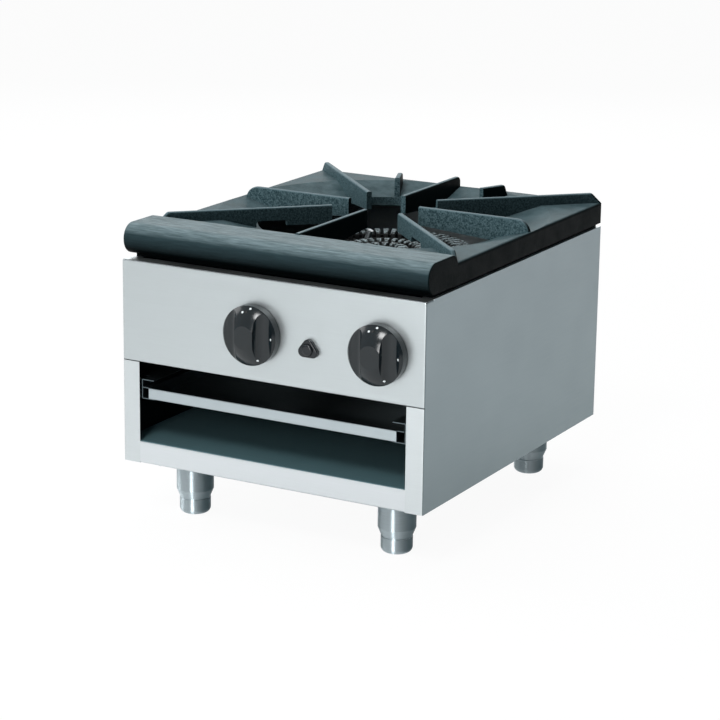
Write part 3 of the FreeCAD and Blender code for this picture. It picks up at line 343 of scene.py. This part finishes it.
def spread(tree, value, low, high, start=0.3, end=0.7):
    """Moves a value's range, by default the middle of a noise, to the range from low to high."""
    limits = {"From Min": start, "From Max": end, "To Min": low, "To Max": high}
    return node(tree, "ShaderNodeMapRange", limits, {"Value": value}).outputs["Result"]


print("masks work on a body of", [round(v / MM, 1) for v in body_high - body_low], "mm")

# %% [markdown]
# ## Satin stainless sheet
# The casing is folded from 1.2 mm stainless steel that was brushed at the mill with a long belt.
# The belt leaves scratches a few hundredths of a millimetre wide that all run level. They are far
# too fine to show here, so they are drawn about 1 mm wide: streaks of roughness and a trace of bump.
# On the front and the sides alike the grain runs level, but the sides turn away from the light and
# read a good deal darker. That shade is painted into the sides' colour, darker towards the foot.
# Faces inside the body are painted dark as shade.

# %% Satin stainless sheet
SCRATCH_MM = 1.0
SMUDGE_MM = 90.0
SCRATCH_DARK = 0.955
SCRATCH_GLOSS = 0.05
SMUDGE_GLOSS = 0.02
SCRATCH_BUMP = 0.06
SCRATCH_DEPTH = 0.1 * MM
# Painted shade for faces that look sideways, darker at the foot than at the top.
SIDE_SHADE_FOOT = "#828F93"
SIDE_SHADE_TOP = "#97A3A8"


def brushed_sheet(name, face, inside, grain, rough, inside_metal):
    """Stainless sheet: a tone for its faces, painted shade on the sides, and painted shade within
    the body.
    """
    material, tree, shader = new_material(name)
    scratches = node(
        tree,
        "ShaderNodeTexNoise",
        {"Scale": 1.0, "Detail": 4.0, "Roughness": 0.6},
        {"Vector": in_periods(tree, SCRATCH_MM, grain)},
    ).outputs[0]
    smudges = node(
        tree,
        "ShaderNodeTexNoise",
        {"Scale": 1.0, "Detail": 2.0, "Roughness": 0.5},
        {"Vector": in_periods(tree, SMUDGE_MM)},
    ).outputs[0]
    place = node(tree, "ShaderNodeTexCoord")
    parts = node(tree, "ShaderNodeSeparateXYZ", {}, {0: place.outputs["Object"]})
    climb = node(
        tree,
        "ShaderNodeMapRange",
        {"From Min": body_low.z, "From Max": body_high.z},
        {"Value": parts.outputs["Z"]},
    ).outputs["Result"]
    # Painted shade: faces that look along X take the darker side colour, graded by height.
    side = blend(tree, climb, SIDE_SHADE_FOOT, SIDE_SHADE_TOP)
    tone = blend(tree, facing(tree, "X"), face, side)
    streaked = node(
        tree,
        "ShaderNodeMix",
        {"data_type": "RGBA", "blend_type": "MULTIPLY", 0: 1.0},
        {6: tone},
    )
    tree.links.new(spread(tree, scratches, SCRATCH_DARK, 1.0), streaked.inputs[7])
    within = inside_body(tree)
    # Painted shade: points within the body take the dark inside colour.
    colour = blend(tree, within, streaked.outputs[2], inside)
    tree.links.new(colour, shader.inputs["Base Color"])
    metal = node(
        tree, "ShaderNodeMapRange", {"To Min": 1.0, "To Max": inside_metal}, {"Value": within}
    ).outputs["Result"]
    tree.links.new(metal, shader.inputs["Metallic"])
    streak_gloss = spread(tree, scratches, rough - SCRATCH_GLOSS, rough + SCRATCH_GLOSS)
    smudge_gloss = spread(tree, smudges, -SMUDGE_GLOSS, SMUDGE_GLOSS)
    finish = node(tree, "ShaderNodeMath", {"operation": "ADD"}, {0: streak_gloss, 1: smudge_gloss})
    tree.links.new(finish.outputs[0], shader.inputs["Roughness"])
    relief = {"Strength": SCRATCH_BUMP, "Distance": SCRATCH_DEPTH}
    bump = node(tree, "ShaderNodeBump", relief, {"Height": scratches})
    tree.links.new(bump.outputs[0], shader.inputs["Normal"])
    return material


# Painted shade for faces inside the body.
INSIDE_SHADE = "#1C2526"
LEVEL_GRAIN = (60.0, 60.0, 1.0)
FLOOR_GRAIN = (60.0, 1.0, 1.0)
SIDE_PANELS = ("side_panel_left", "side_panel_right")
TRAY_PIECES = ("drip_tray", "tray_runner_left", "tray_runner_right")
# Each sheet's material, face, painted shade inside the body, grain, roughness, share of metal
# inside, and pieces
SHEETS = (
    ("brushed_stainless_panel", "#BDC4C6", INSIDE_SHADE, LEVEL_GRAIN, 0.40, 1.0, ("control_panel",)),
    ("brushed_stainless", "#CBD1D3", INSIDE_SHADE, LEVEL_GRAIN, 0.40, 1.0, SIDE_PANELS),
    ("brushed_stainless_rear", "#C0C7C9", "#AEB6B9", LEVEL_GRAIN, 0.42, 1.0, ("rear_panel",)),
    ("brushed_stainless_pan", "#D2D7DA", "#62838A", FLOOR_GRAIN, 0.34, 0.35, ("bottom_pan",)),
    ("brushed_stainless_tray", "#AFB9BD", "#5C676B", FLOOR_GRAIN, 0.36, 1.0, TRAY_PIECES),
)
for *look, pieces in SHEETS:
    dress(brushed_sheet(*look), *pieces)

# %% [markdown]
# ## Enamelled cast iron
# The grate is one grey-iron casting. Moulding sand leaves its skin pebbled at 1 to 3 mm, and a thin
# coat of dark enamel softens the pebbles and pools between them, so gloss and colour both wander.
# The skin is a bump, because pebbles of a tenth of a millimetre would need millions of faces.
#
# The casting mirrors almost nothing, so the coat's reflection is nearly switched off. Its contrast
# is painted into its colour instead, as light and shade by the way a face looks: faces to the right
# carry painted shade close to black, the front roll carries painted shade from black at its foot up
# to a green-grey, and its top carries a painted highlight, the palest tone. Behind the roll the
# fins' faces are gritty grey-green, and their tops carry a plain, paler painted highlight.

# %% Enamelled cast iron
PEBBLE_MM = 2.4
POOL_MM = 22.0
GRIT_MM = 2.2
POOL_GLOSS = 0.07
PEBBLE_GLOSS = 0.05
PEBBLE_BUMP = 0.35


def cast_skin(name, dark, light, rough, depth_mm):
    """Cast iron: pebbles as bump, and colour and gloss that wander as the coat pools."""
    material, tree, shader = new_material(name)
    pebbles = node(
        tree,
        "ShaderNodeTexNoise",
        {"Scale": 1.0, "Detail": 5.0, "Roughness": 0.6},
        {"Vector": in_periods(tree, PEBBLE_MM)},
    ).outputs[0]
    pools = node(
        tree,
        "ShaderNodeTexNoise",
        {"Scale": 1.0, "Detail": 3.0, "Roughness": 0.6},
        {"Vector": in_periods(tree, POOL_MM)},
    ).outputs[0]
    shade = blend(tree, spread(tree, pools, 0.0, 1.0), dark, light)
    tree.links.new(shade, shader.inputs["Base Color"])
    pool_gloss = spread(tree, pools, rough - POOL_GLOSS, rough + POOL_GLOSS)
    pebble_gloss = spread(tree, pebbles, -PEBBLE_GLOSS, PEBBLE_GLOSS)
    finish = node(tree, "ShaderNodeMath", {"operation": "ADD"}, {0: pool_gloss, 1: pebble_gloss})
    tree.links.new(finish.outputs[0], shader.inputs["Roughness"])
    relief = {"Strength": PEBBLE_BUMP, "Distance": depth_mm * MM}
    bump = node(tree, "ShaderNodeBump", relief, {"Height": pebbles})
    tree.links.new(bump.outputs[0], shader.inputs["Normal"])
    return material, tree, shader


# %% The grate's tones
COAT_SPECULAR = 0.02
DECK_TOP = 35 * MM
DECK_FADE = 3 * MM
ROLL_DEPTH = 84 * MM
ROLL_FADE = 4 * MM
# Heights of the roll's painted shade and painted light above the body's top.
ROLL_SHADE_UP_TO = 12 * MM
ROLL_LIT_FROM = 44 * MM
ROLL_STREAK = (12.0, 1.0, 1.0)
STREAK_DARK = 0.7

enamel, tree, shader = cast_skin("enamelled_cast_iron", "#394B4F", "#526469", 0.44, 0.9)
shader.inputs["Specular IOR Level"].default_value = COAT_SPECULAR
deck = shader.inputs["Base Color"].links[0].from_socket
place = node(tree, "ShaderNodeTexCoord")
parts = node(tree, "ShaderNodeSeparateXYZ", {}, {0: place.outputs["Object"]})
normal = node(tree, "ShaderNodeNewGeometry")
turns = node(tree, "ShaderNodeSeparateXYZ", {}, {0: normal.outputs["Normal"]})
# Faces that look up take the deck colour or a paler painted highlight; faces that look right take
# painted shade.
upward = spread(tree, turns.outputs["Z"], 0.0, 1.0, 0.35, 0.9)
right_facing_shade = spread(tree, turns.outputs["X"], 0.0, 1.0, 0.3, 0.85)

grit = node(
    tree,
    "ShaderNodeTexNoise",
    {"Scale": 1.0, "Detail": 4.0, "Roughness": 0.7},
    {"Vector": in_periods(tree, GRIT_MM)},
).outputs[0]
fin_face = blend(tree, spread(tree, grit, 0.0, 1.0, 0.36, 0.66), "#22363B", "#5A7177")
# Painted highlight: faces that look up above the deck, the fins' tops, take a paler colour.
deck_height = body_top + DECK_TOP
over_deck = spread(tree, parts.outputs["Z"], 0.0, 1.0, deck_height, deck_height + DECK_FADE)
deck_and_top_highlight = blend(tree, over_deck, deck, "#5F7177")
fins = blend(tree, upward, fin_face, deck_and_top_highlight)

drawn = node(
    tree,
    "ShaderNodeTexNoise",
    {"Scale": 1.0, "Detail": 4.0, "Roughness": 0.6},
    {"Vector": in_periods(tree, GRIT_MM, ROLL_STREAK)},
).outputs[0]
# Painted shade and light on the roll: black at its foot up to green-grey, and a paler top as a
# painted highlight; the streaks are its drawn grain.
shade_height, lit_height = body_top + ROLL_SHADE_UP_TO, body_top + ROLL_LIT_FROM
roll_rise = spread(tree, parts.outputs["Z"], 0.0, 1.0, shade_height, lit_height)
roll_front_shade = blend(tree, roll_rise, "#010506", "#324449")
roll_top_highlight = blend(tree, spread(tree, drawn, 0.0, 1.0), "#5B6D71", "#7B8C91")
roll = blend(tree, upward, roll_front_shade, roll_top_highlight)
streaks = node(
    tree,
    "ShaderNodeMix",
    {"data_type": "RGBA", "blend_type": "MULTIPLY", 0: 1.0},
    {6: roll},
)
tree.links.new(spread(tree, drawn, STREAK_DARK, 1.0), streaks.inputs[7])

roll_back = body_front + ROLL_DEPTH
behind = spread(tree, parts.outputs["Y"], 0.0, 1.0, roll_back, roll_back + ROLL_FADE)
lit = blend(tree, behind, streaks.outputs[2], fins)
# Painted shade: faces that look right go near black.
tree.links.new(blend(tree, right_facing_shade, lit, "#020A0C"), shader.inputs["Base Color"])
dress(enamel, "top_grate")

# %% [markdown]
# ## Raw cast iron
# The burner heads have no coat. Flames have scorched them to a matt brown-black, darkened further
# here as painted shade, and the top of the crown between the ports carries a painted highlight in
# pale grey, mottled by grit, which is why the teeth of the rings catch the eye.

# %% Raw cast iron
CROWN_HIGHLIGHT_MM = 2.5
CROWN_EDGE_MM = 0.5
CROWN_GRIT_MM = 3.5
# The near-black colours are scorched iron darkened further as painted shade.
raw_iron, tree, shader = cast_skin("burnt_shaded_cast_iron", "#050808", "#0F1415", 0.72, 0.8)
_, crown_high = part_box("outer_burner")
place = node(tree, "ShaderNodeTexCoord")
parts = node(tree, "ShaderNodeSeparateXYZ", {}, {0: place.outputs["Object"]})
crown_reach = {
    "From Min": crown_high.z - CROWN_HIGHLIGHT_MM * MM,
    "From Max": crown_high.z - CROWN_EDGE_MM * MM,
}
crown = node(
    tree, "ShaderNodeMapRange", crown_reach, {"Value": parts.outputs["Z"]}
).outputs["Result"]
burnt_and_shaded = shader.inputs["Base Color"].links[0].from_socket
grit = node(
    tree,
    "ShaderNodeTexNoise",
    {"Scale": 1.0, "Detail": 2.0, "Roughness": 0.6},
    {"Vector": in_periods(tree, CROWN_GRIT_MM)},
).outputs[0]
# Painted highlight: the top of the crown is pale grey, mottled by grit.
crown_highlight = blend(tree, spread(tree, grit, 0.0, 1.0, 0.42, 0.58), "#1B2224", "#86969A")
tree.links.new(blend(tree, crown, burnt_and_shaded, crown_highlight), shader.inputs["Base Color"])
dress(raw_iron, "outer_burner", "inner_burner")
print("crown at %.1f mm" % (crown_high.z / MM))

# %% [markdown]
# ## Moulded phenolic
# Knobs of this kind are hot-pressed from black phenolic resin. The polished mould gives a smooth,
# slightly greyed gloss with a faint orange-peel waviness some 4 mm across.

# %% Moulded phenolic and other plastics
DUST_MM = 0.8
DUST_LIGHT = 1.5
DUST_SMOOTH = 0.03
DUST_ROUGH = 0.04
WAVE_BUMP = 0.10
WAVE_DEPTH = 0.2 * MM
RESIN_IOR = 1.55
RESIN_SPECULAR = 0.4


def moulded(name, colour, rough, wave_mm):
    """A moulded plastic: one colour with faint clouds, and a slow waviness in its gloss."""
    material, tree, shader = new_material(name)
    waves = node(
        tree,
        "ShaderNodeTexNoise",
        {"Scale": 1.0, "Detail": 2.0},
        {"Vector": in_periods(tree, wave_mm)},
    ).outputs[0]
    dust = node(
        tree,
        "ShaderNodeTexNoise",
        {"Scale": 1.0, "Detail": 3.0},
        {"Vector": in_periods(tree, DUST_MM)},
    ).outputs[0]
    clean = linear(colour)
    dusty = (*(DUST_LIGHT * channel for channel in clean[:3]), 1)
    clouds = node(
        tree,
        "ShaderNodeMix",
        {"data_type": "RGBA", 6: clean, 7: dusty},
        {0: spread(tree, dust, 0.0, 1.0)},
    )
    tree.links.new(clouds.outputs[2], shader.inputs["Base Color"])
    finish = spread(tree, dust, rough - DUST_SMOOTH, rough + DUST_ROUGH)
    tree.links.new(finish, shader.inputs["Roughness"])
    relief = {"Strength": WAVE_BUMP, "Distance": WAVE_DEPTH}
    bump = node(tree, "ShaderNodeBump", relief, {"Height": waves})
    tree.links.new(bump.outputs[0], shader.inputs["Normal"])
    shader.inputs["IOR"].default_value = RESIN_IOR
    shader.inputs["Specular IOR Level"].default_value = RESIN_SPECULAR
    return material


phenolic = moulded("black_phenolic", "#060F13", rough=0.17, wave_mm=4.0)
dress(phenolic, "knob_left", "knob_right")
nylon = moulded("black_nylon", "#060D12", rough=0.24, wave_mm=3.0)
dress(nylon, "igniter_bezel", "igniter_button", "igniter_nut", "spark_generator")

# %% [markdown]
# ## Spun stainless legs
# The sleeves and feet are turned on a lathe, so their fine grooves run round the leg. Light spreads
# across grooves, which draws each lamp out into an upright bright line. The shader does the same
# with its anisotropy: its tangent runs round the leg's axis, and a quarter turn of it lays the line
# upright. The grooves are drawn 0.8 mm apart. Faces to the right carry painted shade, a darker metal
# colour.

# %% Spun stainless
GROOVE_STRETCH = 40.0
GROOVE_DARK = 0.86
GROOVE_SMOOTH = 0.04
GROOVE_ROUGH = 0.05
QUARTER_TURN = 0.25
SHADED_METAL = "#6A7C82"


def turned(name, colour, rough, groove_mm, axis):
    """Metal turned on a lathe about one axis: grooves round it as streaks of gloss and bump, and
    painted shade on faces to the right.
    """
    material, tree, shader = new_material(name)
    stretch = [1.0 if letter == axis else GROOVE_STRETCH for letter in "XYZ"]
    grooves = node(
        tree,
        "ShaderNodeTexNoise",
        {"Scale": 1.0, "Detail": 3.0},
        {"Vector": in_periods(tree, groove_mm, stretch)},
    ).outputs[0]
    crest = linear(colour)
    valley = (*(GROOVE_DARK * channel for channel in crest[:3]), 1)
    streaked = node(
        tree,
        "ShaderNodeMix",
        {"data_type": "RGBA", 6: valley, 7: crest},
        {0: spread(tree, grooves, 0.0, 1.0)},
    )
    normal = node(tree, "ShaderNodeNewGeometry")
    turns = node(tree, "ShaderNodeSeparateXYZ", {}, {0: normal.outputs["Normal"]})
    # Painted shade: faces that look right (+X) blend to SHADED_METAL, on every turned part.
    shaded = node(
        tree, "ShaderNodeMapRange", {"From Min": 0.5, "From Max": 1.0}, {"Value": turns.outputs["X"]}
    ).outputs["Result"]
    colour_out = blend(tree, shaded, streaked.outputs[2], SHADED_METAL)
    tree.links.new(colour_out, shader.inputs["Base Color"])
    shader.inputs["Metallic"].default_value = 1.0
    shader.inputs["Anisotropic"].default_value = 1.0
    shader.inputs["Anisotropic Rotation"].default_value = QUARTER_TURN
    finish = spread(tree, grooves, rough - GROOVE_SMOOTH, rough + GROOVE_ROUGH)
    tree.links.new(finish, shader.inputs["Roughness"])
    round_axis = node(tree, "ShaderNodeTangent", {"direction_type": "RADIAL", "axis": axis})
    tree.links.new(round_axis.outputs[0], shader.inputs["Tangent"])
    return material


legs = [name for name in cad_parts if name.startswith(("leg_sleeve", "foot_"))]
dress(turned("spun_stainless", "#C6D2D7", rough=0.46, groove_mm=0.8, axis="Z"), *legs)
valve_parts = ("valve_left", "valve_right", "stem_left", "stem_right")
brass = turned("turned_brass", "#B08A45", rough=0.30, groove_mm=0.8, axis="Y")
dress(brass, "outer_orifice", "inner_orifice", *valve_parts)

# %% [markdown]
# ## Zinc-coated sheet, pipe and small parts
# What the buyer never sees is cheaper: hot-dipped sheet with its frosty spangle, black gas pipe
# with mill scale, a drawn aluminium tube, and zinc-plated bolts. Each still gets its own surface,
# because the range can be looked at from below and behind.

# %% Zinc-coated sheet
ZINC_METAL = 0.9
ZINC_SMOOTH, ZINC_ROUGH = 0.42, 0.56


def spangled_zinc(name, dull, bright, inside, crystal_mm):
    """Hot-dipped zinc: crystals as cells of slightly different grey, with painted shade within the
    body.
    """
    material, tree, shader = new_material(name)
    crystals = node(
        tree, "ShaderNodeTexVoronoi", {"Scale": 1.0}, {"Vector": in_periods(tree, crystal_mm)}
    )
    grey = node(tree, "ShaderNodeSeparateColor", {}, {0: crystals.outputs["Color"]}).outputs[0]
    frost = blend(tree, grey, dull, bright)
    # Painted shade: points within the body take the dark inside colour.
    colour = blend(tree, inside_body(tree), frost, inside)
    tree.links.new(colour, shader.inputs["Base Color"])
    shader.inputs["Metallic"].default_value = ZINC_METAL
    finish = spread(tree, grey, ZINC_SMOOTH, ZINC_ROUGH, 0.0, 1.0)
    tree.links.new(finish, shader.inputs["Roughness"])
    return material


plates = [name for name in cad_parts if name.startswith("leg_plate")]
bearers = ("burner_bearer_left", "burner_bearer_right")
shutters = ("outer_air_shutter", "inner_air_shutter")
zinc = spangled_zinc("zinc_coated_sheet", "#7A8285", "#9AA2A5", "#1F2728", crystal_mm=9.0)
dress(zinc, "heat_shield", *bearers, *shutters, *plates)

# %% Pipe with mill scale
pipe, _, _ = cast_skin("mill_scale_pipe", "#17191B", "#26292C", 0.5, 0.3)
dress(pipe, "manifold", "gas_inlet")

# %% Drawn tube and zinc-plated fasteners
dress(turned("drawn_aluminium", "#C3C8CB", rough=0.28, groove_mm=1.2, axis="X"), "gas_tube")
dress(turned("bright_steel", "#A4ABAE", rough=0.34, groove_mm=0.6, axis="Z"), "pilot_burner")
plated = turned("zinc_plate", "#B9BEC1", rough=0.34, groove_mm=0.6, axis="Z")
dress(plated, "leg_bolts", "plate_screws")

# %% [markdown]
# ## Marks on the knobs
# Each knob carries a few plain white dots and a small black pointer, printed on the dome. They are
# thin domed discs laid on the surface: a ray from the front finds the point and its slope, and the
# disc is turned to lie there. They ride with their knob when it turns.

# %% Knob marks
DOT_RADIUS = 1.6 * MM
DOT_LIFT = 0.12 * MM
DOT_SINK = 0.4 * MM
CROWN_REACH = 0.7
SHOULDER_LIFT = 0.4
DOT_SIDES = 28
RAY_BACK = 10 * MM
DOTS_MM = ((-6.0, 32.0), (3.7, 37.0), (33.6, -0.5), (16.4, -30.0))
POINTER_MM = (-1.0, 32.8)


def add_disc(mesh, spot, normal):
    """A closed low dome of paint: a flat crown, a shoulder ring and a buried rim."""
    turn = normal.to_track_quat("Z", "Y").to_matrix()
    rings = []
    for reach, height in (
        (CROWN_REACH, DOT_LIFT),
        (1.0, DOT_LIFT * SHOULDER_LIFT),
        (1.0, -DOT_SINK),
    ):
        ring = []
        for step in range(DOT_SIDES):
            angle = 2 * math.pi * step / DOT_SIDES
            across = reach * DOT_RADIUS * math.cos(angle)
            along = reach * DOT_RADIUS * math.sin(angle)
            ring.append(mesh.verts.new(spot + turn @ Vector((across, along, height))))
        rings.append(ring)
    for upper, lower in zip(rings, rings[1:]):
        for step in range(DOT_SIDES):
            after = (step + 1) % DOT_SIDES
            mesh.faces.new((upper[step], lower[step], lower[after], upper[after]))
    mesh.faces.new(rings[0])
    mesh.faces.new(list(reversed(rings[-1])))


def marks(name, knob, places, material):
    """Discs at places given from the knob's axis, in one mesh that rides with the knob."""
    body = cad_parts[knob]
    heart = middle(knob)
    low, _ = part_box(knob)
    mesh = bmesh.new()
    for across, up_mm in places:
        start = Vector((heart.x + across * MM, low.y - RAY_BACK, heart.z + up_mm * MM))
        local = body.matrix_world.inverted() @ start
        found, spot, normal, _ = body.ray_cast(local, Vector((0, 1, 0)))
        assert found, "no surface under a mark"
        add_disc(mesh, body.matrix_world @ spot, normal)
    bmesh.ops.recalc_face_normals(mesh, faces=mesh.faces)
    data = bpy.data.meshes.new(name)
    mesh.to_mesh(data)
    mesh.free()
    piece = bpy.data.objects.new(name, data)
    scene.collection.objects.link(piece)
    data.materials.append(material)
    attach(piece, knob)
    print(name, len(data.polygons), "faces")


white_ink = moulded("white_ink", "#BCC2C3", rough=0.45, wave_mm=2.0)
black_ink = moulded("black_ink", "#020304", rough=0.5, wave_mm=2.0)
for side in ("left", "right"):
    knob = "knob_" + side
    marks(knob + "_dots", knob, DOTS_MM, white_ink)
    marks(knob + "_pointer", knob, [POINTER_MM], black_ink)
